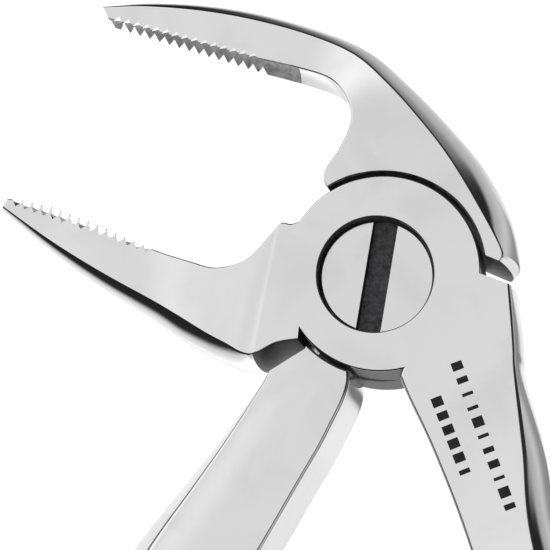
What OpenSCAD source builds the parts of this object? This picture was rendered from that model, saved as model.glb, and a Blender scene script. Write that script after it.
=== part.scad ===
// Extraction forceps, English pattern, hawk-bill beaks for lower roots.
// Two forged halves cross in a lap joint and turn about one slotted screw.
// The instrument lies flat: +Z is the screw's axis, and the handles point towards -Y.

/* [Joint] */
// Thickness of the instrument over the joint
joint_t = 9.2; // [7:0.1:12]
// Radius of the round lap plate that each half has at the joint
disc_r = 7.45; // [6.2:0.05:9]
// How far the visible plate and its socket are shifted off the screw's axis
disc_shift = 0.5; // [0:0.05:0.55]
// Radial gap between a lap plate and the socket that it turns in
socket_gap = 0.28; // [0.2:0.02:0.6]
// Gap between the two lap plates, along the screw
lap_gap = 0.06; // [0.04:0.01:0.2]

/* [Screw] */
// Radius of the screw's head
head_r = 4.26; // [3.6:0.02:4.9]
// Height of the screw's head
head_h = 1.5; // [1.2:0.1:2]
// How far the head sits below the joint's face
head_sink = 1.25; // [0:0.05:1.8]
// Radial gap round the head in its counterbore
head_gap = 0.14; // [0.1:0.02:0.5]
// Width of the screwdriver slot
slot_w = 1.75; // [1:0.05:2.2]
// Depth of the screwdriver slot
slot_d = 0.9; // [0.6:0.05:1.1]
// Direction of the screwdriver slot from +X
slot_angle = 88.4; // [0:0.1:180]
// Radius of the plain shoulder that the front half turns on
shoulder_r = 3; // [2.6:0.05:3.6]
// Radial running clearance on the shoulder
shoulder_gap = 0.04; // [0.02:0.01:0.09]
// Outer radius of the screw's thread
thread_r = 2.5; // [2:0.05:2.9]
// Distance from one thread to the next
thread_pitch = 0.8; // [0.5:0.1:1]
// Gap between the thread and its tapped hole
thread_gap = 0.02; // [0.01:0.01:0.05]
// Radius of the screw's riveted end on the back face
rivet_r = 3.1; // [2.9:0.05:3.6]

/* [Beaks] */
// Distance from the screw's axis to the beak tips
beak_reach = 31; // [26:0.5:36]
// Thickness of a beak at its tip
beak_tip_t = 3.2; // [2.4:0.1:4.2]
// How deep the inner face of a beak is hollowed
gouge = 0.75; // [0.3:0.05:1]
// Number of teeth on each beak
teeth = 15; // [10:1:17]
// Distance from one tooth to the next
tooth_pitch = 0.8; // [0.6:0.05:0.9]
// Depth of the notches between teeth
tooth_depth = 0.42; // [0.2:0.02:0.6]

/* [Handles] */
// Distance from the screw's axis to the handle ends
handle_reach = 138.5; // [110:0.5:160]
// Thickness of a handle at its waist
waist_t = 8.6; // [7:0.1:9]

/* [Pose] */
// Angle between the beak tips in the rest pose
rest_opening = 33.3; // [20:0.1:34]

/* [Hidden] */
$fn = 96;
lap_z = joint_t / 2;
front_lap_z = lap_z + lap_gap / 2;
rear_lap_z = lap_z - lap_gap / 2;
socket_r = disc_r + socket_gap;
head_top = joint_t - head_sink;
head_bottom = head_top - head_h;
counterbore_r = head_r + head_gap;
thread_depth = thread_pitch * 0.6;
rivet_h = (rivet_r - thread_r) * 1.5;
notch_w = tooth_pitch * 0.9;
joined = 0.01; // how far stacked parts of the screw run into each other
rest_turn = rest_opening / 2;
seam_turn = 60;
cut = 1;

// The outlines below are drawn for these sizes, in the pose where the tips would meet.
drawn_disc_r = 7.45;
drawn_root_r = 9.5;
drawn_beak = 31;
drawn_handle = 138.5;
root_r = drawn_root_r * disc_r / drawn_disc_r;
beak_steps = 3;
handle_steps = 3;
flank_steps = 8;
flank_arc = 60; // each side of the flank's middle; 90 would leave no crease at its edges
inner_steps = 4;

// A station is [point on the inner edge, point on the outer edge, bulge of the outer flank,
// share of the way from full joint thickness (0) to the thin end (1), share of the full gouge].
// Each list starts at the joint, on the face that stops the other half.
rear_beak = [
    [[-5.85, 4.5], [8.2, 4.6], 0.6, 0, 0],
    [[-6.5, 4.9], [7.9, 5.5], 1.1, 0, 0],
    [[-6.8, 5.8], [4.9, 7.9], 2.2, 0, 0],
    [[-6.5, 7.8], [1.5, 10.3], 2.4, 0.02, 0],
    [[-6.6, 10], [-1.8, 12.15], 2, 0.06, 0],
    [[-7.7, 11.5], [-5.3, 13.8], 1.4, 0.16, 0.1],
    [[-9.5, 12.4], [-8.6, 14.9], 1.15, 0.3, 0.4],
    [[-12.1, 12.3], [-12.5, 15], 1, 0.45, 0.8],
    [[-16.1, 11.7], [-17, 14.5], 0.95, 0.6, 1],
    [[-20.2, 11.2], [-21.3, 13.6], 0.8, 0.74, 1],
    [[-24.3, 10.7], [-25.5, 12.3], 0.55, 0.88, 0.9],
    [[-27.8, 10.3], [-28.6, 11], 0.2, 1, 0.4]
];
front_beak = [
    [[-4.3, 5.1], [-6.5, -3.9], 0, 0, 0],
    [[-5.6, 4.9], [-8.2, -3.9], 0.1, 0, 0],
    [[-6.45, 5.1], [-9.9, -4.4], 0.4, 0, 0],
    [[-7.5, 4.3], [-10.9, -4.1], 0.75, 0.03, 0],
    [[-9.5, 2.9], [-12, -3.2], 1.05, 0.1, 0.1],
    [[-11.8, 2.7], [-13.4, -2.1], 1.2, 0.2, 0.3],
    [[-13.8, 3.6], [-15.2, -0.5], 1.3, 0.32, 0.7],
    [[-16.7, 5.2], [-17.3, 1.3], 1.2, 0.48, 1],
    [[-20.4, 7.7], [-20.9, 4.2], 1, 0.66, 1],
    [[-24.1, 10], [-24.4, 7.3], 0.7, 0.84, 0.9],
    [[-27.3, 11.3], [-27.8, 10.7], 0.2, 1, 0.4]
];
rear_handle = [
    [[-1.1, -5.2], [-4.3, -9.9], 0.3, 0],
    [[1.5, -7.9], [-4.4, -11.2], 0.6, 0],
    [[1.7, -12.3], [-5.1, -15.9], 1.3, 0],
    [[1.3, -16.7], [-5.9, -20.2], 1.7, 0.05],
    [[0.6, -23.5], [-7.0, -26.2], 2.0, 0.15],
    [[-0.9, -36], [-8.1, -37], 2.2, 0.6],
    [[-2.2, -54], [-8.7, -54], 2.3, 1],
    [[-3.1, -74], [-9.5, -74], 2.4, 1],
    [[-3.4, -94], [-10.2, -94], 2.5, 0.8],
    [[-3.1, -112], [-9.9, -112.4], 2.5, 0.4],
    [[-2.7, -126], [-8.9, -127], 2.3, 0.1],
    [[-2.9, -133.4], [-8.0, -134], 1.9, 0],
    [[-3.9, -136.6], [-6.9, -136.8], 1.1, 0.3],
    [[-4.9, -137.8], [-6.1, -137.8], 0.4, 0.8]
];
front_handle = [
    [[5.8, -0.2], [9.8, -2.5], 0.2, 0],
    [[2.6, -5.6], [9.6, -5.2], 0.3, 0],
    [[0.9, -7.4], [9.4, -7.4], 0.3, 0],
    [[0.8, -8.8], [9.2, -9.2], 0.4, 0],
    [[2.3, -14.2], [8.9, -14.9], 1.3, 0],
    [[3.8, -21.6], [8.5, -22.4], 1.8, 0.1],
    [[5.6, -35], [10.2, -36], 2.1, 0.6],
    [[5.9, -54], [11.8, -54], 2.3, 1],
    [[5.3, -74], [11.7, -74], 2.4, 1],
    [[4.6, -94], [11.4, -94], 2.5, 0.8],
    [[4.1, -112], [10.9, -112.4], 2.5, 0.4],
    [[4.1, -126], [10.3, -127], 2.3, 0.1],
    [[4.8, -133.4], [9.9, -134], 1.9, 0],
    [[6.2, -136.6], [9.2, -136.8], 1.1, 0.3],
    [[7.2, -137.8], [8.4, -137.8], 0.4, 0.8]
];

// A point moved along its own radius, so that the disc, the beaks and the handles keep their own sizes.
function placed(p, drawn_reach, reach) =
    p * lookup(norm(p), [[0, 0], [drawn_root_r, root_r], [drawn_reach, reach]]) / norm(p);

// Catmull-Rom curve through b and c, for numbers and vectors alike.
function smooth(a, b, c, d, t) =
    0.5 * (2 * b + (c - a) * t + (2 * a - 5 * b + 4 * c - d) * t * t + (3 * b - a - 3 * c + d) * t * t * t);

function between(list, i, k, t) =
    smooth(list[max(i - 1, 0)][k], list[i][k], list[i + 1][k], list[min(i + 2, len(list) - 1)][k], t);

function dense(list, steps) = [
    for (i = [0 : len(list) - 2], s = [0 : steps - (i == len(list) - 2 ? 0 : 1)])
        [for (k = [0 : len(list[0]) - 1]) between(list, i, k, s / steps)]
];

// One cross-section: flat front and back, a bulging outer flank, and a flat or hollowed inner face.
function section(inner, outer, bulge, t, hollow) =
    let (across = (outer - inner) / norm(outer - inner), w = norm(outer - inner))
    concat(
        [for (k = [0 : flank_steps])
            let (
                a = flank_arc * (1 - 2 * k / flank_steps),
                u = w + bulge * (cos(a) - cos(flank_arc)) / (1 - cos(flank_arc)),
                p = inner + across * u
            )
            [p.x, p.y, lap_z + t / 2 * sin(a) / sin(flank_arc)]],
        [for (k = [0 : inner_steps])
            let (v = 2 * k / inner_steps - 1, p = inner + across * hollow * (1 - v * v))
            [p.x, p.y, lap_z + t / 2 * v]]
    );

// A closed skin over a row of cross-sections. Turned says on which side the inner edge is.
module loft(rings, turned) {
    n = len(rings[0]);
    last = len(rings) - 1;
    sides = [
        for (i = [0 : last - 1], k = [0 : n - 1])
            let (a = i * n + k, b = i * n + (k + 1) % n, c = a + n, d = b + n)
            each [[a, b, d], [a, d, c]]
    ];
    hub = flank_steps / 2;
    caps = [
        for (k = [1 : n - 2])
            let (a = (hub + k) % n, b = (hub + k + 1) % n)
            each [[hub, b, a], [last * n + hub, last * n + a, last * n + b]]
    ];
    faces = concat(sides, caps);
    polyhedron(
        points = [for (ring = rings) each ring],
        faces = turned ? [for (f = faces) [for (k = [len(f) - 1 : -1 : 0]) f[k]]] : faces
    );
}

module beak(stations, turned) {
    loft([
        for (s = dense(stations, beak_steps))
            section(
                placed(s[0], drawn_beak, beak_reach),
                placed(s[1], drawn_beak, beak_reach),
                max(s[2], 0.01),
                joint_t + (beak_tip_t - joint_t) * max(s[3], 0),
                gouge * max(s[4], 0)
            )
    ], turned);
}

module handle(stations, turned) {
    loft([
        for (s = dense(stations, handle_steps))
            section(
                placed(s[0], drawn_handle, handle_reach),
                placed(s[1], drawn_handle, handle_reach),
                max(s[2], 0.01),
                joint_t + (waist_t - joint_t) * max(s[3], 0),
                0
            )
    ], turned);
}

// The notches between a beak's teeth, cut straight through both rims along the line from the tip.
module notches(tip, along) {
    heading = along - tip;
    translate([tip.x, tip.y, -cut])
        rotate(atan2(heading.y, heading.x))
            linear_extrude(joint_t + 2 * cut)
                for (k = [0 : teeth - 1])
                    translate([(k + 1) * tooth_pitch, 0])
                        children();
}

module notch(side) {
    polygon([
        [-notch_w / 2, -side * tooth_pitch],
        [-notch_w / 2, 0],
        [0, side * tooth_depth],
        [notch_w / 2, 0],
        [notch_w / 2, -side * tooth_pitch]
    ]);
}

// The turned profile of the thread, a row of V ridges grown by gap all round, up to height top.
module thread(gap, top) {
    ridges = floor((rear_lap_z - rivet_h) / thread_pitch);
    root_r = thread_r - thread_depth + gap;
    rotate_extrude()
        polygon(concat(
            [[0, rivet_h]],
            [for (k = [0 : ridges - 1]) each [
                [root_r, rivet_h + k * thread_pitch],
                [thread_r + gap, rivet_h + (k + 0.5) * thread_pitch]
            ]],
            [[root_r, rivet_h + ridges * thread_pitch], [root_r, top], [0, top]]
        ));
}

// The riveted end of the screw, a cone that fills its countersink from the back face.
module rivet(gap) {
    cylinder(r1 = rivet_r + gap, r2 = thread_r - thread_depth + gap, h = rivet_h);
}

// The front plate and its socket, a little off the screw's axis.
module shifted_plate(r, h) {
    rotate(rest_turn)
        translate([disc_shift, 0, 0])
            rotate(seam_turn)
                cylinder(r = r, h = h);
}

module rear_half() {
    color("silver")
    difference() {
        union() {
            rotate(-rest_turn) {
                beak(rear_beak, true);
                handle(rear_handle, true);
            }
            cylinder(r = disc_r, h = rear_lap_z);
        }
        translate([0, 0, rear_lap_z])
            shifted_plate(socket_r, joint_t);
        thread(thread_gap, joint_t);
        rivet(thread_gap);
        translate([0, 0, -cut])
            cylinder(r = rivet_r + thread_gap, h = cut);
        rotate(-rest_turn)
            notches(placed(rear_beak[11][0], drawn_beak, beak_reach), placed(rear_beak[8][0], drawn_beak, beak_reach))
                notch(1);
    }
}

module front_half() {
    color("silver")
    difference() {
        union() {
            rotate(rest_turn) {
                beak(front_beak, false);
                handle(front_handle, false);
            }
            translate([0, 0, front_lap_z])
                shifted_plate(disc_r, joint_t - front_lap_z);
        }
        translate([0, 0, -cut])
            cylinder(r = socket_r, h = front_lap_z + cut);
        translate([0, 0, -cut])
            cylinder(r = shoulder_r + shoulder_gap, h = joint_t + 2 * cut);
        translate([0, 0, head_bottom])
            cylinder(r = counterbore_r, h = joint_t);
        rotate(rest_turn)
            notches(placed(front_beak[10][0], drawn_beak, beak_reach), placed(front_beak[7][0], drawn_beak, beak_reach))
                notch(-1);
    }
}

module pivot_screw() {
    color("gainsboro")
    difference() {
        union() {
            rivet(0);
            thread(0, rear_lap_z);
            translate([0, 0, rear_lap_z])
                cylinder(r = shoulder_r, h = head_bottom - rear_lap_z + joined);
            translate([0, 0, head_bottom])
                cylinder(r = head_r, h = head_h);
        }
        translate([0, 0, head_top - slot_d])
            rotate(slot_angle)
                translate([-2 * head_r, -slot_w / 2, 0])
                    cube([4 * head_r, slot_w, slot_d + cut]);
    }
}

rear_half();
front_half();
pivot_screw();
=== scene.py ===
import math

import bmesh
import bpy
from mathutils import Matrix, Vector


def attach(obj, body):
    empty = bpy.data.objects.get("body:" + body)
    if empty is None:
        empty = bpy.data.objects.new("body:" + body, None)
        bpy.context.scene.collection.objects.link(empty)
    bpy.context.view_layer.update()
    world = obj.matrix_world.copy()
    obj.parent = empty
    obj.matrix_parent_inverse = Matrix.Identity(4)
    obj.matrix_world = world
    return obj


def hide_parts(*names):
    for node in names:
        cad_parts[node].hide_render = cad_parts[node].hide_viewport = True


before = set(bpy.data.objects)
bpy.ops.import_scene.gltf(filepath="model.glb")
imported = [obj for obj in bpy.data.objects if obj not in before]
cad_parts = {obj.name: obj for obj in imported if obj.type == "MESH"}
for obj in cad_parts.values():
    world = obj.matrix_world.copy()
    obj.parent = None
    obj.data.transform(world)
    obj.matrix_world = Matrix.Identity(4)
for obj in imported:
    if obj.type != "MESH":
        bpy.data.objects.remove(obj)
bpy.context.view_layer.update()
mm = 0.001
scene = bpy.context.scene

# Sizes shared by the pieces.
joint = {
    "thickness": 9.2,        # over the joint, front face to back face
    "discRadius": 7.45,      # round lap plate
    "socketRadius": 7.73,    # recess that the other half's plate turns in
    "discShift": 0.5,        # front plate and its socket, off the screw's axis
    "lapGap": 0.06,
    "opening": 33.3,         # angle between the tips as the forceps lie
    "rimRound": 0.16,        # broken edge round plates and recesses
}
midZ = joint["thickness"] / 2
restTurn = math.radians(joint["opening"] / 2)

# Stations along a half: inner edge, outer edge, bulge of the outer flank, share of thinning, share of hollow.
rearBeakShape = [
    ((-5.85, 4.5), (8.2, 4.6), 0.6, 0, 0), ((-6.5, 4.9), (7.9, 5.5), 1.1, 0, 0),
    ((-6.8, 5.8), (4.9, 7.9), 2.2, 0, 0), ((-6.5, 7.8), (1.5, 10.3), 2.4, 0.02, 0),
    ((-6.6, 10), (-1.8, 12.15), 2, 0.06, 0), ((-7.7, 11.5), (-5.3, 13.8), 1.4, 0.16, 0.1),
    ((-9.5, 12.4), (-8.6, 14.9), 1.15, 0.3, 0.4), ((-12.1, 12.3), (-12.5, 15), 1, 0.45, 0.8),
    ((-16.1, 11.7), (-17, 14.5), 0.95, 0.6, 1), ((-20.2, 11.2), (-21.3, 13.6), 0.8, 0.74, 1),
    ((-24.3, 10.7), (-25.5, 12.3), 0.55, 0.88, 0.9), ((-27.8, 10.3), (-28.6, 11), 0.2, 1, 0.4),
]
frontBeakShape = [
    ((-4.3, 5.1), (-6.5, -3.9), 0, 0, 0), ((-5.6, 4.9), (-8.2, -3.9), 0.1, 0, 0),
    ((-6.45, 5.1), (-9.9, -4.4), 0.4, 0, 0), ((-7.5, 4.3), (-10.9, -4.1), 0.75, 0.03, 0),
    ((-9.5, 2.9), (-12, -3.2), 1.05, 0.1, 0.1), ((-11.8, 2.7), (-13.4, -2.1), 1.2, 0.2, 0.3),
    ((-13.8, 3.6), (-15.2, -0.5), 1.3, 0.32, 0.7), ((-16.7, 5.2), (-17.3, 1.3), 1.2, 0.48, 1),
    ((-20.4, 7.7), (-20.9, 4.2), 1, 0.66, 1), ((-24.1, 10), (-24.4, 7.3), 0.7, 0.84, 0.9),
    ((-27.3, 11.3), (-27.8, 10.7), 0.2, 1, 0.4),
]
rearHandleShape = [
    ((-1.1, -5.2), (-4.3, -9.9), 0.3, 0, 0), ((1.5, -7.9), (-4.4, -11.2), 0.6, 0, 0),
    ((1.7, -12.3), (-5.1, -15.9), 1.3, 0, 0), ((1.3, -16.7), (-5.9, -20.2), 1.7, 0.05, 0),
    ((0.6, -23.5), (-7.0, -26.2), 2.0, 0.15, 0), ((-0.9, -36), (-8.1, -37), 2.2, 0.6, 0),
    ((-2.2, -54), (-8.7, -54), 2.3, 1, 0), ((-3.1, -74), (-9.5, -74), 2.4, 1, 0),
    ((-3.4, -94), (-10.2, -94), 2.5, 0.8, 0), ((-3.1, -112), (-9.9, -112.4), 2.5, 0.4, 0),
    ((-2.7, -126), (-8.9, -127), 2.3, 0.1, 0), ((-2.9, -133.4), (-8.0, -134), 1.9, 0, 0),
    ((-3.9, -136.6), (-6.9, -136.8), 1.1, 0.3, 0), ((-4.9, -137.8), (-6.1, -137.8), 0.4, 0.8, 0),
]
frontHandleShape = [
    ((5.8, -0.2), (9.8, -2.5), 0.2, 0, 0), ((2.6, -5.6), (9.6, -5.2), 0.3, 0, 0),
    ((0.9, -7.4), (9.4, -7.4), 0.3, 0, 0), ((0.8, -8.8), (9.2, -9.2), 0.4, 0, 0),
    ((2.3, -14.2), (8.9, -14.9), 1.3, 0, 0), ((3.8, -21.6), (8.5, -22.4), 1.8, 0.1, 0),
    ((5.6, -35), (10.2, -36), 2.1, 0.6, 0), ((5.9, -54), (11.8, -54), 2.3, 1, 0),
    ((5.3, -74), (11.7, -74), 2.4, 1, 0), ((4.6, -94), (11.4, -94), 2.5, 0.8, 0),
    ((4.1, -112), (10.9, -112.4), 2.5, 0.4, 0), ((4.1, -126), (10.3, -127), 2.3, 0.1, 0),
    ((4.8, -133.4), (9.9, -134), 1.9, 0, 0), ((6.2, -136.6), (9.2, -136.8), 1.1, 0.3, 0),
    ((7.2, -137.8), (8.4, -137.8), 0.4, 0.8, 0),
]


# Shader groups.
def addSocket(group, name, kind, way, value=None):
    s = group.interface.new_socket(name=name, in_out=way, socket_type=kind)
    if value is not None:
        s.default_value = value


def link(tree, a, b):
    tree.links.new(a, b)


def mathNode(tree, operation, a, b=None):
    n = tree.nodes.new("ShaderNodeMath")
    n.operation = operation
    for i, v in enumerate((a, b)):
        if v is None:
            continue
        if isinstance(v, (int, float)):
            n.inputs[i].default_value = v
        else:
            tree.links.new(v, n.inputs[i])
    return n.outputs[0]


def fineWearGroup():
    # Hairlines left by the polishing belt, plus soft smudges from handling.
    g = bpy.data.node_groups.new("fineWear", "ShaderNodeTree")
    addSocket(g, "Hairline Scale", "NodeSocketFloat", "INPUT", 900.0)
    addSocket(g, "Hairline Angle", "NodeSocketFloat", "INPUT", 0.0)
    addSocket(g, "Smudge Scale", "NodeSocketFloat", "INPUT", 180.0)
    addSocket(g, "Base Roughness", "NodeSocketFloat", "INPUT", 0.12)
    addSocket(g, "Roughness Spread", "NodeSocketFloat", "INPUT", 0.08)
    addSocket(g, "Roughness", "NodeSocketFloat", "OUTPUT")
    addSocket(g, "Hairlines", "NodeSocketFloat", "OUTPUT")
    addSocket(g, "Smudge", "NodeSocketFloat", "OUTPUT")
    gi, go = g.nodes.new("NodeGroupInput"), g.nodes.new("NodeGroupOutput")
    coord = g.nodes.new("ShaderNodeTexCoord")
    turn = g.nodes.new("ShaderNodeVectorRotate")
    turn.rotation_type = "Z_AXIS"
    link(g, coord.outputs["Object"], turn.inputs["Vector"])
    link(g, gi.outputs["Hairline Angle"], turn.inputs["Angle"])
    stretch = g.nodes.new("ShaderNodeMapping")
    stretch.inputs["Scale"].default_value = (14.0, 0.55, 14.0)
    link(g, turn.outputs[0], stretch.inputs["Vector"])
    hair = g.nodes.new("ShaderNodeTexNoise")
    hair.inputs["Detail"].default_value = 3.0
    hair.inputs["Roughness"].default_value = 0.6
    link(g, stretch.outputs[0], hair.inputs["Vector"])
    link(g, gi.outputs["Hairline Scale"], hair.inputs["Scale"])
    smudge = g.nodes.new("ShaderNodeTexNoise")
    smudge.inputs["Detail"].default_value = 4.0
    smudge.inputs["Distortion"].default_value = 0.6
    link(g, coord.outputs["Object"], smudge.inputs["Vector"])
    link(g, gi.outputs["Smudge Scale"], smudge.inputs["Scale"])
    soft = g.nodes.new("ShaderNodeMapRange")
    soft.interpolation_type = "SMOOTHSTEP"
    soft.inputs["From Min"].default_value = 0.42
    soft.inputs["From Max"].default_value = 0.7
    link(g, smudge.outputs["Fac"], soft.inputs["Value"])
    smudgeShare = mathNode(g, "MULTIPLY", soft.outputs[0], 0.6)
    hairShare = mathNode(g, "MULTIPLY", hair.outputs["Fac"], 0.4)
    both = mathNode(g, "ADD", smudgeShare, hairShare)
    uneven = mathNode(g, "MULTIPLY", both, gi.outputs["Roughness Spread"])
    rough = mathNode(g, "ADD", gi.outputs["Base Roughness"], uneven)
    link(g, rough, go.inputs["Roughness"])
    link(g, hair.outputs["Fac"], go.inputs["Hairlines"])
    link(g, soft.outputs[0], go.inputs["Smudge"])
    return g


def groundGrainGroup():
    # Coarse grain of steel that was milled and never polished, with dark oxide in its low spots.
    g = bpy.data.node_groups.new("groundGrain", "ShaderNodeTree")
    addSocket(g, "Grain Scale", "NodeSocketFloat", "INPUT", 1600.0)
    addSocket(g, "Clean Colour", "NodeSocketColor", "INPUT", (0.3, 0.3, 0.31, 1))
    addSocket(g, "Oxide Colour", "NodeSocketColor", "INPUT", (0.05, 0.05, 0.055, 1))
    addSocket(g, "Colour", "NodeSocketColor", "OUTPUT")
    addSocket(g, "Height", "NodeSocketFloat", "OUTPUT")
    gi, go = g.nodes.new("NodeGroupInput"), g.nodes.new("NodeGroupOutput")
    coord = g.nodes.new("ShaderNodeTexCoord")
    stretch = g.nodes.new("ShaderNodeMapping")
    stretch.inputs["Scale"].default_value = (1.0, 1.0, 0.35)
    link(g, coord.outputs["Object"], stretch.inputs["Vector"])
    grain = g.nodes.new("ShaderNodeTexNoise")
    grain.inputs["Detail"].default_value = 6.0
    grain.inputs["Roughness"].default_value = 0.7
    link(g, stretch.outputs[0], grain.inputs["Vector"])
    link(g, gi.outputs["Grain Scale"], grain.inputs["Scale"])
    shade = g.nodes.new("ShaderNodeMapRange")
    shade.inputs["From Min"].default_value = 0.35
    shade.inputs["From Max"].default_value = 0.72
    link(g, grain.outputs["Fac"], shade.inputs["Value"])
    mix = g.nodes.new("ShaderNodeMix")
    mix.data_type = "RGBA"
    link(g, shade.outputs[0], mix.inputs["Factor"])
    link(g, gi.outputs["Oxide Colour"], mix.inputs["A"])
    link(g, gi.outputs["Clean Colour"], mix.inputs["B"])
    link(g, mix.outputs["Result"], go.inputs["Colour"])
    link(g, grain.outputs["Fac"], go.inputs["Height"])
    return g


fineWear = fineWearGroup()
groundGrain = groundGrainGroup()


def useGroup(tree, group, **values):
    n = tree.nodes.new("ShaderNodeGroup")
    n.node_tree = group
    for name, v in values.items():
        n.inputs[name.replace("_", " ")].default_value = v
    return n


def newMaterial(name):
    m = bpy.data.materials.new(name)
    m.use_nodes = True
    return m, m.node_tree, m.node_tree.nodes["Principled BSDF"]


def polishedSteel(name, angle, base, spread, colour):
    # Mirror-polished stainless steel with belt hairlines along the piece.
    m, t, shader = newMaterial(name)
    wear = useGroup(t, fineWear, Hairline_Scale=900.0, Hairline_Angle=angle, Smudge_Scale=170.0,
                    Base_Roughness=base, Roughness_Spread=spread)
    mix = t.nodes.new("ShaderNodeMix")
    mix.data_type = "RGBA"
    mix.inputs["A"].default_value = (*colour, 1)
    mix.inputs["B"].default_value = (*[c * 0.93 for c in colour], 1)
    link(t, wear.outputs["Smudge"], mix.inputs["Factor"])
    link(t, mix.outputs["Result"], shader.inputs["Base Color"])
    link(t, wear.outputs["Roughness"], shader.inputs["Roughness"])
    shader.inputs["Metallic"].default_value = 1.0
    bump = t.nodes.new("ShaderNodeBump")
    bump.inputs["Strength"].default_value = 0.06
    bump.inputs["Distance"].default_value = 0.00002
    link(t, wear.outputs["Hairlines"], bump.inputs["Height"])
    link(t, bump.outputs["Normal"], shader.inputs["Normal"])
    return m


def groundSteel(name, clean, oxide, scale):
    # Unpolished steel inside the joint, the stop faces and the screwdriver slot, where near-black colours over
    # the grain paint the shade of the gaps and recesses.
    m, t, shader = newMaterial(name)
    grain = useGroup(t, groundGrain, Grain_Scale=scale, Clean_Colour=(*clean, 1), Oxide_Colour=(*oxide, 1))
    link(t, grain.outputs["Colour"], shader.inputs["Base Color"])
    shader.inputs["Metallic"].default_value = 0.7
    rough = t.nodes.new("ShaderNodeMapRange")
    rough.inputs["To Min"].default_value = 0.35
    rough.inputs["To Max"].default_value = 0.65
    link(t, grain.outputs["Height"], rough.inputs["Value"])
    link(t, rough.outputs[0], shader.inputs["Roughness"])
    bump = t.nodes.new("ShaderNodeBump")
    bump.inputs["Strength"].default_value = 0.5
    bump.inputs["Distance"].default_value = 0.00006
    link(t, grain.outputs["Height"], bump.inputs["Height"])
    link(t, bump.outputs["Normal"], shader.inputs["Normal"])
    return m


halfLook = {"base": 0.09, "spread": 0.07, "colour": (0.88, 0.88, 0.885)}
screwLook = {"base": 0.1, "spread": 0.08, "colour": (0.86, 0.86, 0.865)}
rearSteel = polishedSteel("rearSteel", -restTurn, **halfLook)
frontSteel = polishedSteel("frontSteel", restTurn, **halfLook)
screwSteel = polishedSteel("screwSteel", math.radians(40), **screwLook)
# The joint and slot steels are near black: painted shade in the joint's gaps, on the plate rims and in the
# screwdriver slot, over real unpolished grain.
jointGrainAndShade = groundSteel("jointGrainAndShade", (0.16, 0.16, 0.165), (0.03, 0.03, 0.033), 1500.0)
slotPaintedShade = groundSteel("slotPaintedShade", (0.1, 0.1, 0.105), (0.02, 0.02, 0.022), 2200.0)
toothSteel = groundSteel("toothSteel", (0.62, 0.62, 0.63), (0.2, 0.2, 0.205), 1900.0)
etchedSteel = groundSteel("etchedSteel", (0.035, 0.035, 0.037), (0.015, 0.015, 0.016), 2600.0)
print("materials made")


# Mesh helpers.
sectionDetail = {"corner": 5, "face": 8, "strip": 7, "crownFrom": 0.55, "crownedAt": 1.3}
groundShadeSlot, toothSlot = 1, 2  # places of the dark joint steel, painted shade, and of the tooth steel in a loft's materials
quarter = [(math.sin(math.pi / 2 * k / 5), math.cos(math.pi / 2 * k / 5)) for k in range(6)]


def catmull(a, b, c, d, t):
    # A smooth curve through four values, at the share t of the way between the middle two.
    bend = 2 * a - 5 * b + 4 * c - d
    twist = 3 * b - a - 3 * c + d
    return 0.5 * (2 * b + (c - a) * t + bend * t * t + twist * t ** 3)


def fillet(a, corner, b, t):
    # A curve from a to b that rounds the corner between them.
    return a * (1 - t) ** 2 + corner * 2 * t * (1 - t) + b * t * t


def denseStations(shape, steps):
    # The stations with smoothly spaced ones between them.
    rows = [[*p, *q, *rest] for p, q, *rest in shape]
    out = []
    for i in range(len(rows) - 1):
        a, b, c, d = rows[max(i - 1, 0)], rows[i], rows[i + 1], rows[min(i + 2, len(rows) - 1)]
        for s in range(steps):
            out.append([catmull(a[k], b[k], c[k], d[k], s / steps) for k in range(len(b))])
    out.append(rows[-1])
    return out


def sectionPoints(row, thin, options):
    # One cross-section, from the outer flank's top round to the inner face's top.
    inner, outer = Vector(row[0:2]), Vector(row[2:4])
    width = (outer - inner).length
    across = (outer - inner) / width
    half = (joint["thickness"] + (thin - joint["thickness"]) * max(row[5], 0)) / 2
    bulge = max(row[4], 0.02)
    hollow = options["hollow"] * max(row[6], 0)
    r = min(options["edge"], width * 0.25)
    points = []
    flank, arc = options["flankSteps"], math.radians(options["flankArc"])
    for k in range(flank + 1):
        a = arc * (1 - 2 * k / flank)
        rise = (math.cos(a) - math.cos(arc)) / (1 - math.cos(arc))
        points.append((width + bulge * rise, half * math.sin(a) / math.sin(arc)))
    soft = min(options["crease"], width * 0.2)
    first, last = Vector(points[0]), Vector(points[-1])
    into = (Vector(points[1]) - first).normalized() * soft
    out = (Vector(points[-2]) - last).normalized() * soft
    flat = Vector((soft, 0))
    upper = [fillet(first - flat, first, first + into, t) for t in (0, 0.3, 0.65, 1)]
    lower = [fillet(last + out, last, last - flat, t) for t in (0, 0.35, 0.7, 1)]
    points = [tuple(q) for q in upper] + points[1:-1] + [tuple(q) for q in lower]
    # A crowned flat falls away towards the outer flank.
    crown = options["crown"] * min(bulge / sectionDetail["crownedAt"], 1)
    start = width * sectionDetail["crownFrom"]
    steps = sectionDetail["strip"] if options["crown"] else 0
    strip = [start + (width - soft - start) * k / steps for k in range(steps)]
    points += [(u, -half) for u in reversed(strip)]
    corner, face = sectionDetail["corner"], sectionDetail["face"]
    for k in range(corner + 1):
        a = math.pi / 2 * k / corner
        points.append((r * (1 - math.sin(a)), -half + r * (1 - math.cos(a))))
    for k in range(1, face):
        v = 2 * k / face - 1
        points.append((hollow * (1 - v * v), v * (half - r)))
    for k in range(corner, -1, -1):
        a = math.pi / 2 * k / corner
        points.append((r * (1 - math.sin(a)), half - r * (1 - math.cos(a))))
    points += [(u, half) for u in strip]
    if crown:
        fall = [min(max(u - start, 0) / (width - start), 1) ** 2 for u, z in points]
        points = [(u, z * (1 - crown / half * f)) for (u, z), f in zip(points, fall)]
    return [Vector((*(inner + across * u), midZ + z)) for u, z in points]


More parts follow.
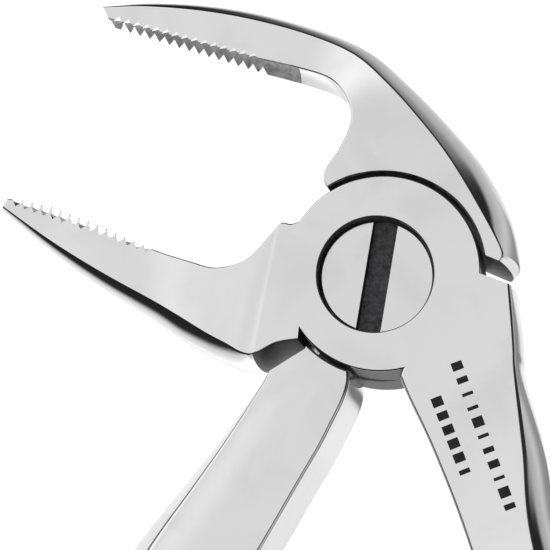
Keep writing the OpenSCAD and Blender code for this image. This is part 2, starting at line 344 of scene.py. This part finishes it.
def loftMesh(name, shape, options, turn, material, patches=()):
    # The end at the joint is a stop face, left unpolished and darkened as painted shade. A patch is (first
    # row, last row, first point, last point, place of its material) and takes another finish.
    rows = denseStations(shape, options["steps"])
    rings = [sectionPoints(row, options["thin"], options) for row in rows]
    bm = bmesh.new()
    spin = Matrix.Rotation(turn, 3, "Z")
    made = [[bm.verts.new(spin @ p * mm) for p in ring] for ring in rings]
    n = len(made[0])
    for i, (a, b) in enumerate(zip(made, made[1:])):
        for k in range(n):
            f = bm.faces.new((a[k], a[(k + 1) % n], b[(k + 1) % n], b[k]))
            f.material_index = next((m for r0, r1, k0, k1, m in patches if r0 <= i < r1 and k0 <= k < k1), 0)
    bm.faces.new(made[0]).material_index = groundShadeSlot
    bm.faces.new(list(reversed(made[-1])))
    bmesh.ops.recalc_face_normals(bm, faces=bm.faces)
    return meshObject(name, bm, [material, jointGrainAndShade, toothSteel])


def meshObject(name, bm, materials):
    mesh = bpy.data.meshes.new(name)
    bm.to_mesh(mesh)
    bm.free()
    for m in materials:
        mesh.materials.append(m)
    o = bpy.data.objects.new(name, mesh)
    scene.collection.objects.link(o)
    return o


def lathe(name, profile, material, centre=(0, 0), segments=160, wall=None):
    # A closed solid of revolution from (radius, height) pairs that start and end on the axis.
    # Upright faces take the wall material where there is one; the plates' rims get the near-black joint steel
    # there as painted shade.
    bm = bmesh.new()
    rings = []
    for r, z in profile:
        if r < 1e-6:
            rings.append([bm.verts.new((centre[0] * mm, centre[1] * mm, z * mm))])
        else:
            rings.append([bm.verts.new(((centre[0] + r * math.cos(2 * math.pi * k / segments)) * mm,
                                        (centre[1] + r * math.sin(2 * math.pi * k / segments)) * mm, z * mm))
                          for k in range(segments)])
    for a, b in zip(rings, rings[1:]):
        for k in range(segments):
            j = (k + 1) % segments
            if len(a) == 1 and len(b) == 1:
                continue
            if len(a) == 1:
                bm.faces.new((a[0], b[k], b[j]))
            elif len(b) == 1:
                bm.faces.new((a[k], b[0], a[j]))
            else:
                bm.faces.new((a[k], b[k], b[j], a[j]))
    bmesh.ops.recalc_face_normals(bm, faces=bm.faces)
    if wall:
        for f in bm.faces:
            f.material_index = 1 if abs(f.normal.z) < 0.3 else 0
    return meshObject(name, bm, [material, wall] if wall else [material])


def roundedPlug(radius, low, high, rim, roundTop=True):
    # Profile of a plate whose rim is rounded at its top or at its bottom.
    if roundTop:
        side = [(radius, low)] + [(radius - rim * (1 - c), high - rim * (1 - s)) for s, c in quarter]
    else:
        side = [(radius - rim * (1 - s), low + rim * (1 - c)) for s, c in quarter] + [(radius, high)]
    return [(0, low), *side, (0, high)]


def flaredCutter(radius, low, high, face, rim, upward=True):
    # Profile of a cutting tool whose wall flares where it leaves the face, so the recess gets a rounded mouth.
    arc = [(radius + rim * (1 - c), rim * (s - 1)) for s, c in quarter]
    if upward:
        wall = [(radius, low)] + [(r, face + z) for r, z in arc] + [(radius + rim, high)]
    else:
        wall = [(radius + rim, low)] + [(r, face - z) for r, z in reversed(arc)] + [(radius, high)]
    return [(0, low), *wall, (0, high)]


def applied(o):
    # Bakes an object's live modifiers into a plain mesh.
    dg = bpy.context.evaluated_depsgraph_get()
    mesh = bpy.data.meshes.new_from_object(o.evaluated_get(dg), preserve_all_data_layers=True, depsgraph=dg)
    o.modifiers.clear()
    o.data = mesh
    return o


def combine(o, other, operation):
    mod = o.modifiers.new("cut", "BOOLEAN")
    mod.operation = operation
    mod.object = other
    solvers = [e.identifier for e in mod.bl_rna.properties["solver"].enum_items]
    mod.solver = "MANIFOLD" if "MANIFOLD" in solvers else "EXACT"
    mod.material_mode = "TRANSFER"
    applied(o)
    bpy.data.objects.remove(other)
    return o


def finishShading(o, angle=32):
    # Smooth shading from the real surface: flat faces keep their own normal up to their edges, and
    # a curved face blends only with neighbours inside the angle.
    mesh = o.data
    mesh.shade_smooth()
    limit = math.cos(math.radians(angle))
    around = [[] for _ in mesh.vertices]
    for f in mesh.polygons:
        for v in f.vertices:
            around[v].append(f.index)
    faces = [(f.normal.copy(), f.area) for f in mesh.polygons]
    normals = [None] * len(mesh.loops)
    for f in mesh.polygons:
        own = faces[f.index][0]
        for k in f.loop_indices:
            mine = [faces[i] for i in around[mesh.loops[k].vertex_index] if faces[i][0].dot(own) > limit]
            flat = [n for n, area in mine if abs(n.z) > 0.9998]
            total = flat[0] if flat else sum((n * area for n, area in mine), Vector((0, 0, 0)))
            normals[k] = total.normalized() if total.length > 0 else own
    mesh.normals_split_custom_set(normals)
    return o


def prism(name, section, halfHeight, material):
    # A straight bar along Z with the given section in millimetres.
    bm = bmesh.new()
    ends = [[bm.verts.new((x * mm, y * mm, z * mm)) for x, y in section] for z in (-halfHeight, halfHeight)]
    n = len(section)
    for k in range(n):
        bm.faces.new((ends[0][k], ends[0][(k + 1) % n], ends[1][(k + 1) % n], ends[1][k]))
    bm.faces.new(list(reversed(ends[0])))
    bm.faces.new(ends[1])
    bmesh.ops.recalc_face_normals(bm, faces=bm.faces)
    return meshObject(name, bm, [material])


def endTree(g, geometry, groupOutput, material):
    # Every tree ends the same way, because instances are lost outside the file.
    real = g.nodes.new("GeometryNodeRealizeInstances")
    link(g, geometry, real.inputs[0])
    paint = g.nodes.new("GeometryNodeSetMaterial")
    paint.inputs["Material"].default_value = material
    link(g, real.outputs[0], paint.inputs["Geometry"])
    link(g, paint.outputs[0], groupOutput.inputs[0])


# Straight rows of one cutter: the serrations and the etched marks.
teeth = {"count": 15, "pitch": 0.8, "halfShare": 0.45, "depth": 0.38, "tall": 12.0}
marks = {
    "width": 0.85, "deep": 0.04, "pitch": 1.12, "shortest": 0.22, "longest": 0.8,
    # Name, start, end and seed of each row.
    "rows": (("longMarks", (4.77, -6.81), (7.4, -19.95), 7), ("shortMarks", (2.88, -9.22), (4.53, -16.84), 3)),
}


def rowTree(name, material):
    # Repeats the object's own mesh along X, each copy stretched by a random length.
    g = bpy.data.node_groups.new(name, "GeometryNodeTree")
    addSocket(g, "Geometry", "NodeSocketGeometry", "INPUT")
    addSocket(g, "Count", "NodeSocketInt", "INPUT")
    addSocket(g, "Pitch", "NodeSocketFloat", "INPUT")
    addSocket(g, "Shortest", "NodeSocketFloat", "INPUT", 1.0)
    addSocket(g, "Longest", "NodeSocketFloat", "INPUT", 1.0)
    addSocket(g, "Seed", "NodeSocketInt", "INPUT")
    addSocket(g, "Geometry", "NodeSocketGeometry", "OUTPUT")
    gi, go = g.nodes.new("NodeGroupInput"), g.nodes.new("NodeGroupOutput")
    row = g.nodes.new("GeometryNodeMeshLine")
    link(g, gi.outputs["Count"], row.inputs["Count"])
    step = g.nodes.new("ShaderNodeCombineXYZ")
    link(g, gi.outputs["Pitch"], step.inputs["X"])
    link(g, step.outputs[0], row.inputs["Offset"])
    link(g, step.outputs[0], row.inputs["Start Location"])
    length = g.nodes.new("FunctionNodeRandomValue")
    length.data_type = "FLOAT"
    floats = [i for i in length.inputs if i.type == "VALUE"]
    link(g, gi.outputs["Shortest"], floats[0])
    link(g, gi.outputs["Longest"], floats[1])
    link(g, gi.outputs["Seed"], length.inputs["Seed"])
    stretch = g.nodes.new("ShaderNodeCombineXYZ")
    link(g, [o for o in length.outputs if o.type == "VALUE"][0], stretch.inputs["X"])
    stretch.inputs["Y"].default_value = 1
    stretch.inputs["Z"].default_value = 1
    put = g.nodes.new("GeometryNodeInstanceOnPoints")
    link(g, row.outputs[0], put.inputs["Points"])
    link(g, gi.outputs["Geometry"], put.inputs["Instance"])
    link(g, stretch.outputs[0], put.inputs["Scale"])
    endTree(g, put.outputs[0], go, material)
    return g


def setInputs(o, tree, **values):
    # Adds the tree to the object with its named inputs set by their identifiers, and bakes it.
    mod = o.modifiers.new(tree.name, "NODES")
    mod.node_group = tree
    for item in tree.interface.items_tree:
        key = item.name.replace(" ", "_")
        if item.in_out == "INPUT" and key in values:
            mod[item.identifier] = values[key]
    return applied(o)


def placeRow(o, start, towards, height, turn, side=1):
    # Lays a row along the line between two points of a half, mirrored where side is -1.
    a, b = Vector((*start, 0)), Vector((*towards, 0))
    place = Matrix.Rotation(turn, 4, "Z") @ Matrix.Translation((a + Vector((0, 0, height))) * mm)
    along = Matrix.Rotation(math.atan2(b.y - a.y, b.x - a.x), 4, "Z")
    place = place @ along @ Matrix.Diagonal((1, side, 1, 1))
    o.data.transform(place)
    if side < 0:
        o.data.flip_normals()
    return o


def toothCutters(name, tip, along, side, turn, material):
    # A row of bars with a pointed edge, which cut the serrations from the tip inwards.
    half, deep, tall = teeth["pitch"] * teeth["halfShare"], teeth["depth"], teeth["tall"] / 2
    section = [(-half, -teeth["pitch"]), (half, -teeth["pitch"]), (half, 0), (0, deep), (-half, 0)]
    cutter = prism(name, section, tall, material)
    setInputs(cutter, rowTree(name, material), Count=teeth["count"], Pitch=teeth["pitch"] * mm,
              Shortest=1.0, Longest=1.0)
    return placeRow(cutter, tip, along, midZ, turn, side)


def etchedMarks(name, start, towards, seed):
    # A row of plain bars in place of a maker's marking.
    w = marks["width"] / 2
    cutter = prism(name, [(-0.5, -w), (0.5, -w), (0.5, w), (-0.5, w)], marks["deep"], etchedSteel)
    count = int((Vector(towards) - Vector(start)).length / marks["pitch"])
    setInputs(cutter, rowTree(name, etchedSteel), Count=count, Pitch=marks["pitch"] * mm,
              Shortest=marks["shortest"], Longest=marks["longest"], Seed=seed)
    return placeRow(cutter, start, towards, top, restTurn)


# Cross-knurling on the handles' outer flanks.
knurl = {
    "length": 1.7, "width": 0.95, "height": 0.2, "sink": 0.05, "fill": 0.96,
    "from": 44.0, "to": 119.0,  # distances below the pivot
    "margin": 0.75,             # left plain beside the flank's edges
    "feel": (0.5, 0.2),         # steps along and round the flank that give the direction it faces
}


def knurlTree(name, material):
    # Puts a four-sided pyramid on each vertex, facing out of the flank and pointing along the handle.
    g = bpy.data.node_groups.new(name, "GeometryNodeTree")
    addSocket(g, "Geometry", "NodeSocketGeometry", "INPUT")
    addSocket(g, "Diamond Length", "NodeSocketFloat", "INPUT")
    addSocket(g, "Diamond Width", "NodeSocketFloat", "INPUT")
    addSocket(g, "Diamond Height", "NodeSocketFloat", "INPUT")
    addSocket(g, "Handle Direction", "NodeSocketVector", "INPUT")
    addSocket(g, "Geometry", "NodeSocketGeometry", "OUTPUT")
    gi, go = g.nodes.new("NodeGroupInput"), g.nodes.new("NodeGroupOutput")
    cone = g.nodes.new("GeometryNodeMeshCone")
    cone.inputs["Vertices"].default_value = 4
    cone.inputs["Radius Top"].default_value = 0
    cone.inputs["Radius Bottom"].default_value = 0.5
    cone.inputs["Depth"].default_value = 1
    facing = g.nodes.new("GeometryNodeInputNamedAttribute")
    facing.data_type = "FLOAT_VECTOR"
    facing.inputs["Name"].default_value = "facing"
    stand = g.nodes.new("FunctionNodeAlignRotationToVector")
    stand.axis = "Z"
    link(g, facing.outputs["Attribute"], stand.inputs["Vector"])
    point = g.nodes.new("FunctionNodeAlignRotationToVector")
    point.axis = "X"
    point.pivot_axis = "Z"
    link(g, stand.outputs[0], point.inputs["Rotation"])
    link(g, gi.outputs["Handle Direction"], point.inputs["Vector"])
    size = g.nodes.new("ShaderNodeCombineXYZ")
    link(g, gi.outputs["Diamond Length"], size.inputs["X"])
    link(g, gi.outputs["Diamond Width"], size.inputs["Y"])
    link(g, gi.outputs["Diamond Height"], size.inputs["Z"])
    put = g.nodes.new("GeometryNodeInstanceOnPoints")
    link(g, gi.outputs["Geometry"], put.inputs["Points"])
    link(g, cone.outputs["Mesh"], put.inputs["Instance"])
    link(g, point.outputs[0], put.inputs["Rotation"])
    link(g, size.outputs[0], put.inputs["Scale"])
    endTree(g, put.outputs[0], go, material)
    return g


def atDistance(points, sums, s):
    # The point at distance s along a polyline, given its running lengths.
    i = max(k for k in range(len(sums) - 1) if sums[k] <= s or k == 0)
    t = (s - sums[i]) / max(sums[i + 1] - sums[i], 1e-9)
    return [a + (b - a) * t for a, b in zip(points[i], points[i + 1])]


def runningLengths(points):
    sums = [0.0]
    for a, b in zip(points, points[1:]):
        sums.append(sums[-1] + (Vector(b) - Vector(a)).length)
    return sums


def knurledFlank(name, shape, turn, material):
    # Vertices in staggered rows on a handle's outer flank, each with the direction it faces.
    rows = denseStations(shape, handleLook["steps"])
    edge = [row[2:4] for row in rows]
    sums = runningLengths(edge)
    startAt = min(s for p, s in zip(edge, sums) if -p[1] >= knurl["from"])
    endAt = max(s for p, s in zip(edge, sums) if -p[1] <= knurl["to"])
    spin = Matrix.Rotation(turn, 3, "Z")
    alongStep, roundStep = knurl["feel"]
    bm = bmesh.new()
    facing = bm.verts.layers.float_vector.new("facing")
    for i in range(int((endAt - startAt) / knurl["length"] * 2)):
        s = startAt + i * knurl["length"] / 2
        row = atDistance(rows, sums, s)
        ahead, behind = atDistance(edge, sums, s + alongStep), atDistance(edge, sums, s - alongStep)
        heading = Vector((*ahead, 0)) - Vector((*behind, 0))
        section = sectionPoints(row, handleLook["thin"], handleLook)
        ring = [list(p) for p in section[:flankPoints]]
        around = runningLengths(ring)
        reach = around[-1] / 2 - knurl["margin"]
        shift = 0.5 if i % 2 else 0.0
        for j in range(-12, 13):
            v = (j + shift) * knurl["width"]
            if abs(v) > reach:
                continue
            middle = around[-1] / 2 + v
            p = Vector(atDistance(ring, around, middle))
            after, before = (Vector(atDistance(ring, around, middle + d)) for d in (roundStep, -roundStep))
            n = heading.cross(after - before).normalized()
            centre = Vector((*row[0:2], midZ))
            n = n if n.dot(p - centre) > 0 else -n
            vert = bm.verts.new(spin @ (p - n * knurl["sink"]) * mm)
            vert[facing] = spin @ n
    o = meshObject(name, bm, [material])
    ends = Vector((*shape[9][1], 0)) - Vector((*shape[6][1], 0))
    return setInputs(o, knurlTree(name, material), Diamond_Length=knurl["length"] * knurl["fill"] * mm,
                     Diamond_Width=knurl["width"] * knurl["fill"] * mm,
                     Diamond_Height=(knurl["height"] + knurl["sink"]) * mm,
                     Handle_Direction=tuple(spin @ ends.normalized()))


# The two halves.
flankSteps = 28
beakLook = {
    "thin": 3.2, "steps": 10, "hollow": 0.75, "edge": 0.14, "crease": 0.12, "crown": 0.0,
    "flankSteps": flankSteps, "flankArc": 60,
    "toothedRows": 38,  # rows of the loft behind the serrations, from the tip
    "rootRows": 21,     # rows of the front beak that face the joint, left unpolished and darkened as painted shade
}
handleLook = {
    "thin": 8.6, "steps": 10, "hollow": 0.0, "edge": 0.3, "crease": 0.22, "crown": 0.0,
    "flankSteps": flankSteps, "flankArc": 60,
}
crownedHandle = {**handleLook, "crown": 0.17}

# Points of a section: those on the outer flank with its creases, and the span of the hollowed face.
flankPoints = flankSteps + 7
innerFace = (flankSteps + 9, flankSteps + 24)

# Holes for the screw, with the rear half's riveted mouth as a profile.
holes = {
    "rearRadius": 2.6, "frontRadius": 3.04, "seatRadius": 4.4, "seatFloor": 6.45, "seatRim": 0.07,
    "sharp": 0.01, "mouth": [(0, -1), (3.3, -1), (3.13, 0), (2.4, 0.95), (0, 0.95)],
}

frontCentre = (joint["discShift"] * math.cos(restTurn), joint["discShift"] * math.sin(restTurn))
top, low = joint["thickness"], 0.0
frontLap, rearLap = midZ + joint["lapGap"] / 2, midZ - joint["lapGap"] / 2
plateRim, socketRadius = joint["rimRound"], joint["socketRadius"]


def toothedPatch(shape):
    last = (len(shape) - 1) * beakLook["steps"]
    return (last - beakLook["toothedRows"], last, *innerFace, toothSlot)


def makeRearHalf():
    body = loftMesh("rearHalf", rearBeakShape, beakLook, -restTurn, rearSteel, [toothedPatch(rearBeakShape)])
    handle = loftMesh("rearHandle", rearHandleShape, crownedHandle, -restTurn, rearSteel)
    # The plate's rim takes the near-black joint steel as painted shade.
    plate = lathe("rearPlate", roundedPlug(joint["discRadius"], low, rearLap, plateRim, False), rearSteel,
                  wall=jointGrainAndShade)
    combine(body, plate, "UNION")
    combine(body, handle, "UNION")
    # The recess and bore walls take the near-black joint steel, painted shade in the joint's hollows.
    recess = flaredCutter(socketRadius, rearLap, top + 2, top, plateRim)
    combine(body, lathe("rearSocket", recess, jointGrainAndShade, frontCentre), "DIFFERENCE")
    bore = lathe("rearBore", roundedPlug(holes["rearRadius"], -1, top, holes["sharp"]), jointGrainAndShade)
    combine(body, bore, "DIFFERENCE")
    mouth = lathe("rearMouth", holes["mouth"], rearSteel)
    combine(body, mouth, "DIFFERENCE")
    cutters = toothCutters("rearTeeth", rearBeakShape[11][0], rearBeakShape[8][0], 1, -restTurn, rearSteel)
    combine(body, cutters, "DIFFERENCE")
    combine(body, knurledFlank("rearKnurl", rearHandleShape, -restTurn, rearSteel), "UNION")
    return body


def makeFrontHalf():
    # The root's outer flank, in the gap by the joint, takes the dark joint steel as painted shade.
    root = (0, beakLook["rootRows"], 0, flankPoints - 1, groundShadeSlot)
    body = loftMesh("frontHalf", frontBeakShape, beakLook, restTurn, frontSteel,
                    [toothedPatch(frontBeakShape), root])
    handle = loftMesh("frontHandle", frontHandleShape, handleLook, restTurn, frontSteel)
    # The plate's rim takes the near-black joint steel as painted shade.
    plate = lathe("frontPlate", roundedPlug(joint["discRadius"], frontLap, top, plateRim), frontSteel,
                  frontCentre, wall=jointGrainAndShade)
    combine(body, plate, "UNION")
    combine(body, handle, "UNION")
    # The recess, bore and seat walls take the near-black joint steel, painted shade in the joint's hollows.
    recess = flaredCutter(socketRadius, low - 2, frontLap, low, plateRim, False)
    combine(body, lathe("frontSocket", recess, jointGrainAndShade), "DIFFERENCE")
    bore = lathe("frontBore", roundedPlug(holes["frontRadius"], -1, top + 1, holes["sharp"]), jointGrainAndShade)
    combine(body, bore, "DIFFERENCE")
    seat = flaredCutter(holes["seatRadius"], holes["seatFloor"], top + 1, top, holes["seatRim"])
    combine(body, lathe("frontSeat", seat, jointGrainAndShade), "DIFFERENCE")
    cutters = toothCutters("frontTeeth", frontBeakShape[10][0], frontBeakShape[7][0], -1, restTurn, frontSteel)
    combine(body, cutters, "DIFFERENCE")
    for row in marks["rows"]:
        combine(body, etchedMarks(*row), "DIFFERENCE")
    combine(body, knurledFlank("frontKnurl", frontHandleShape, restTurn, frontSteel), "UNION")
    return body


rearHalf = makeRearHalf()
print("rear half made", len(rearHalf.data.polygons))
frontHalf = makeFrontHalf()
print("front half made", len(frontHalf.data.polygons))
finishShading(rearHalf)
finishShading(frontHalf)


# Screw.
screw = {
    "headRadius": 4.26, "headHeight": 1.5, "sink": 1.25, "rim": 0.1, "shoulderRadius": 3.0,
    "slotWidth": 1.75, "slotDepth": 0.9, "slotAngle": 88.4, "slotReach": 6, "lip": 0.07,
    "pitch": 0.8, "root": 2.02, "crest": 2.5, "threadFrom": 0.91,
    "rivet": [(0, 0), (3.06, 0), (3.1, 0.04)], "rivetTop": 0.9,
}


def makeScrew():
    headTop = top - screw["sink"]
    headLow = headTop - screw["headHeight"]
    pitch, root, shoulder = screw["pitch"], screw["root"], screw["shoulderRadius"]
    profile = [*screw["rivet"], (root, screw["rivetTop"])]
    z = screw["threadFrom"]
    while z + pitch < rearLap:
        profile += [(root, z), (screw["crest"], z + pitch / 2)]
        z += pitch
    profile += [(root, z), (root, rearLap), (shoulder, rearLap), (shoulder, headLow)]
    radius, rim = screw["headRadius"], screw["rim"]
    profile += [(radius - rim, headLow), (radius, headLow + rim)]
    profile += [(radius - rim * (1 - c), headTop - rim * (1 - s)) for s, c in quarter]
    profile.append((0, headTop))
    body = lathe("pivotScrew", profile, screwSteel)
    bm = bmesh.new()
    # The slot's section has slightly rounded lips.
    w, d, lip = screw["slotWidth"] / 2, screw["slotDepth"], screw["lip"]
    section = [(-w, -d), (w, -d), (w, -lip), (w + lip * 0.3, -lip * 0.3), (w + lip, 0), (w + lip, 1),
               (-w - lip, 1), (-w - lip, 0), (-w - lip * 0.3, -lip * 0.3), (-w, -lip)]
    ends = [[bm.verts.new((x, y, z)) for y, z in section] for x in (-screw["slotReach"], screw["slotReach"])]
    n = len(section)
    for k in range(n):
        bm.faces.new((ends[0][k], ends[0][(k + 1) % n], ends[1][(k + 1) % n], ends[1][k]))
    bm.faces.new(ends[0])
    bm.faces.new(list(reversed(ends[1])))
    bmesh.ops.recalc_face_normals(bm, faces=bm.faces)
    slotTurn = Matrix.Rotation(math.radians(screw["slotAngle"]), 4, "Z")
    bm.transform(Matrix.Scale(mm, 4) @ Matrix.Translation((0, 0, headTop)) @ slotTurn)
    # The slot's walls and floor take the near-black slot steel, painted shade in the groove.
    cutter = meshObject("slotCutter", bm, [slotPaintedShade])
    combine(body, cutter, "DIFFERENCE")
    return finishShading(body)


pivotScrew = makeScrew()
print("screw made", len(pivotScrew.data.polygons))

# Riding and replacing.
for piece, body, node, slotName in (
    (rearHalf, "rear_body", "rear_half", "rear_steel"),
    (frontHalf, "front_body", "front_half", "front_steel"),
    (pivotScrew, "rear_body", "pivot_screw", "screw_steel"),
):
    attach(piece, body)
    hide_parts(node)

# Floor, light and camera.
floorMesh = bmesh.new()
bmesh.ops.create_grid(floorMesh, x_segments=1, y_segments=1, size=3.0)
floorMaterial, floorTree, floorShader = newMaterial("paperFloor")
floorNoise = floorTree.nodes.new("ShaderNodeTexNoise")
floorNoise.inputs["Scale"].default_value = 900.0
floorMix = floorTree.nodes.new("ShaderNodeMix")
floorMix.data_type = "RGBA"
floorMix.inputs["A"].default_value = (0.9, 0.9, 0.9, 1)
floorMix.inputs["B"].default_value = (0.93, 0.93, 0.93, 1)
link(floorTree, floorNoise.outputs["Fac"], floorMix.inputs["Factor"])
link(floorTree, floorMix.outputs["Result"], floorShader.inputs["Base Color"])
floorShader.inputs["Roughness"].default_value = 0.9
floorShader.inputs["Specular IOR Level"].default_value = 0.1
floor = meshObject("floor", floorMesh, [floorMaterial])
floor.location.z = -0.0001  # just under the forceps
floor.visible_glossy = False  # the polished steel mirrors the studio instead

pictureTurn = math.radians(8.1)  # the forceps lie turned by this much in the view
view = {
    "tiltRight": 8.0, "tiltDown": 10.0, "distance": 300.0, "aim": (-7.5, 0.0),
    "width": 41.25,              # what the view takes in at the joint's face
    "shift": (-0.04725, 0.105),  # of the view, at that width
}
sideSlope, downSlope = (math.tan(math.radians(view[k])) for k in ("tiltRight", "tiltDown"))
back = Vector((sideSlope, -downSlope, 1)).normalized()
forward = -back
right = forward.cross(Vector((0, 1, 0))).normalized()
upward = right.cross(forward)
target = Vector((*view["aim"], top))
spot = target + back * view["distance"]
toRow = Matrix.Rotation(pictureTurn, 4, "Z")
camera = bpy.data.objects.new("camera", bpy.data.cameras.new("camera"))
scene.collection.objects.link(camera)
look = Matrix((right, upward, back)).transposed().to_4x4()
camera.matrix_world = toRow @ Matrix.Translation(spot * mm) @ look
camera.data.sensor_width = 36
camera.data.lens = 36 * view["distance"] / view["width"]
camera.data.shift_x = view["shift"][0] / view["width"]
camera.data.shift_y = view["shift"][1] / view["width"]
camera.data.clip_start = 0.01
camera.data.clip_end = 10
scene.camera = camera

sky = bpy.data.worlds.new("studio")
scene.world = sky
sky.use_nodes = True
skyTree = sky.node_tree
background = skyTree.nodes["Background"]
skyCoord = skyTree.nodes.new("ShaderNodeTexCoord")
skyAim = skyTree.nodes.new("ShaderNodeVectorMath")
skyAim.operation = "DOT_PRODUCT"
beakLean = 0.14  # the beaks' flats slope a little, so the overhead light is centred beside the joint's mirror
mirrored = (toRow @ Vector((-back.x - beakLean, -back.y, back.z))).normalized()
skyAim.inputs[1].default_value = mirrored
skyNormal = skyTree.nodes.new("ShaderNodeVectorMath")
skyNormal.operation = "NORMALIZE"
link(skyTree, skyCoord.outputs["Generated"], skyNormal.inputs[0])
link(skyTree, skyNormal.outputs[0], skyAim.inputs[0])
skyAngle = mathNode(skyTree, "ARCCOSINE", skyAim.outputs["Value"])
skyShare = mathNode(skyTree, "DIVIDE", skyAngle, math.pi)
skyFlat = skyTree.nodes.new("ShaderNodeVectorMath")
skyFlat.operation = "MULTIPLY"
skyFlat.inputs[1].default_value = (1, 1, 0)
link(skyTree, skyNormal.outputs[0], skyFlat.inputs[0])
skyHeading = skyTree.nodes.new("ShaderNodeVectorMath")
skyHeading.operation = "NORMALIZE"
link(skyTree, skyFlat.outputs[0], skyHeading.inputs[0])


def skyRamp(stops):
    # Brightness against the angle from the direction that the flat faces mirror.
    ramp = skyTree.nodes.new("ShaderNodeValToRGB")
    ramp.color_ramp.interpolation = "EASE"
    while len(ramp.color_ramp.elements) < len(stops):
        ramp.color_ramp.elements.new(0.5)
    for e, (at, v) in zip(ramp.color_ramp.elements, stops):
        e.position = at / 180
        e.color = (v, v, v, 1)
    link(skyTree, skyShare, ramp.inputs[0])
    return ramp.outputs["Color"]


def skySector(heading, inner, outer):
    # 1 within the inner angle from a compass heading, 0 beyond the outer one.
    side = skyTree.nodes.new("ShaderNodeVectorMath")
    side.operation = "DOT_PRODUCT"
    a = math.radians(heading)
    side.inputs[1].default_value = toRow @ Vector((math.cos(a), math.sin(a), 0))
    link(skyTree, skyHeading.outputs[0], side.inputs[0])
    mask = skyTree.nodes.new("ShaderNodeMapRange")
    mask.interpolation_type = "SMOOTHSTEP"
    mask.inputs["From Min"].default_value = math.cos(math.radians(outer))
    mask.inputs["From Max"].default_value = math.cos(math.radians(inner))
    link(skyTree, side.outputs["Value"], mask.inputs["Value"])
    return mask.outputs[0]


def skyMix(mask, under, over):
    # Lays one brightness over another where the mask is 1.
    mix = skyTree.nodes.new("ShaderNodeMix")
    mix.data_type = "RGBA"
    link(skyTree, mask, mix.inputs["Factor"])
    link(skyTree, under, mix.inputs["A"])
    link(skyTree, over, mix.inputs["B"])
    return mix.outputs["Result"]


overhead = [(0, 0.9), (6, 0.8), (10, 0.74), (26, 0.7), (33, 0.05)]
darkRoom = skyRamp(overhead + [(60, 0.015), (114, 0.02), (134, 0.8), (150, 1.2)])
slowRoom = skyRamp(overhead + [(62, 0.012), (82, 0.07), (98, 0.21), (130, 0.52), (160, 0.9)])
lightRoom = skyRamp(overhead + [(54, 0.02), (68, 0.5), (90, 0.62), (115, 0.55), (140, 0.85)])
sideRoom = skyRamp(overhead + [(60, 0.02), (112, 0.02), (122, 0.45), (140, 0.6), (156, 0.3), (172, 0.08)])
whiteRoom = skyRamp([(0, 0.9), (6, 0.8), (9, 0.76), (18, 1.05), (48, 1.0), (56, 0.1), (70, 0.1), (80, 0.9),
                     (130, 0.95)])
shade = darkRoom
# Each room takes over in its sector: compass heading, inner angle, outer angle.
for heading, inner, outer, room in (
    (30, 37, 69, slowRoom),
    (320, 20, 30, lightRoom),
    (28, 12, 20, sideRoom),
    (180, 14, 22, lightRoom),
    (146, 26, 40, whiteRoom),
):
    shade = skyMix(skySector(heading, inner, outer), shade, room)
link(skyTree, shade, background.inputs["Color"])

lamp = {"energy": 3.4, "spread": 60, "tilt": (12, -10)}
sunData = bpy.data.lights.new("softLamp", "SUN")
sunData.energy = lamp["energy"]
sunData.angle = math.radians(lamp["spread"])
sun = bpy.data.objects.new("softLamp", sunData)
sun.rotation_euler = (math.radians(lamp["tilt"][0]), math.radians(lamp["tilt"][1]), 0)
sunData.use_shadow = False
sun.visible_glossy = False
scene.collection.objects.link(sun)
scene.view_settings.view_transform = "Standard"
print("floor, light and camera made")
